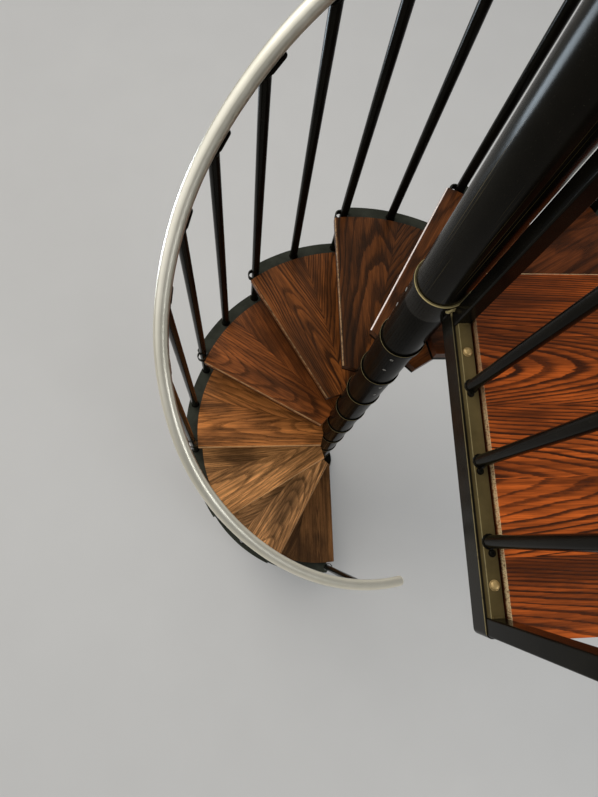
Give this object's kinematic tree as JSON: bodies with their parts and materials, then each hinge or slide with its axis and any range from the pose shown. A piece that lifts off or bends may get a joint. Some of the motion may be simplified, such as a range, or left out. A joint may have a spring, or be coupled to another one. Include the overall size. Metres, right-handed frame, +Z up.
{
  "type": "spiral staircase",
  "caption": "Steel spiral stair turning once round a centre pole, with oak treads on steel trays, round balusters, a tube handrail and a square landing with a guard.",
  "frame": {"origin": "on the column axis at the underside of the base plate, where it stands on the floor", "axes": "+Z up along the column; +X along the landing's front edge, away from the column; +Y towards the top tread side, so the landing lies in the quarter +X, -Y and the flight climbs clockwise seen from above"},
  "size_m": [1.232, 1.2435, 3.218],
  "materials": {
    "black_steel": "satin",
    "oak": "gloss",
    "rail_metal": "satin"
  },
  "bodies": {
    "root": {"base_plate": "black_steel", "base_sleeve": "black_steel", "center_pole": "black_steel", "newel_sleeve": "black_steel", "newel_cap": "black_steel", "tread_frame_01": "black_steel", "tread_frame_02": "black_steel", "tread_frame_03": "black_steel", "tread_frame_04": "black_steel", "tread_frame_05": "black_steel", "tread_frame_06": "black_steel", "tread_frame_07": "black_steel", "tread_frame_08": "black_steel", "tread_frame_09": "black_steel", "tread_board_01": "oak", "tread_board_02": "oak", "tread_board_03": "oak", "tread_board_04": "oak", "tread_board_05": "oak", "tread_board_06": "oak", "tread_board_07": "oak", "tread_board_08": "oak", "tread_board_09": "oak", "landing_frame": "black_steel", "landing_deck": "oak", "guard_posts": "black_steel", "guard_bottom_bar": "black_steel", "guard_balusters": "black_steel", "guard_top_bar": "black_steel", "guard_handrail": "rail_metal", "rail_plugs": "rail_metal", "handrail_lower": "rail_metal", "handrail_middle": "rail_metal", "handrail_upper": "rail_metal", "corner_balusters": "black_steel", "middle_balusters": "black_steel", "rail_tabs": "black_steel"}
  },
  "joints": []
}
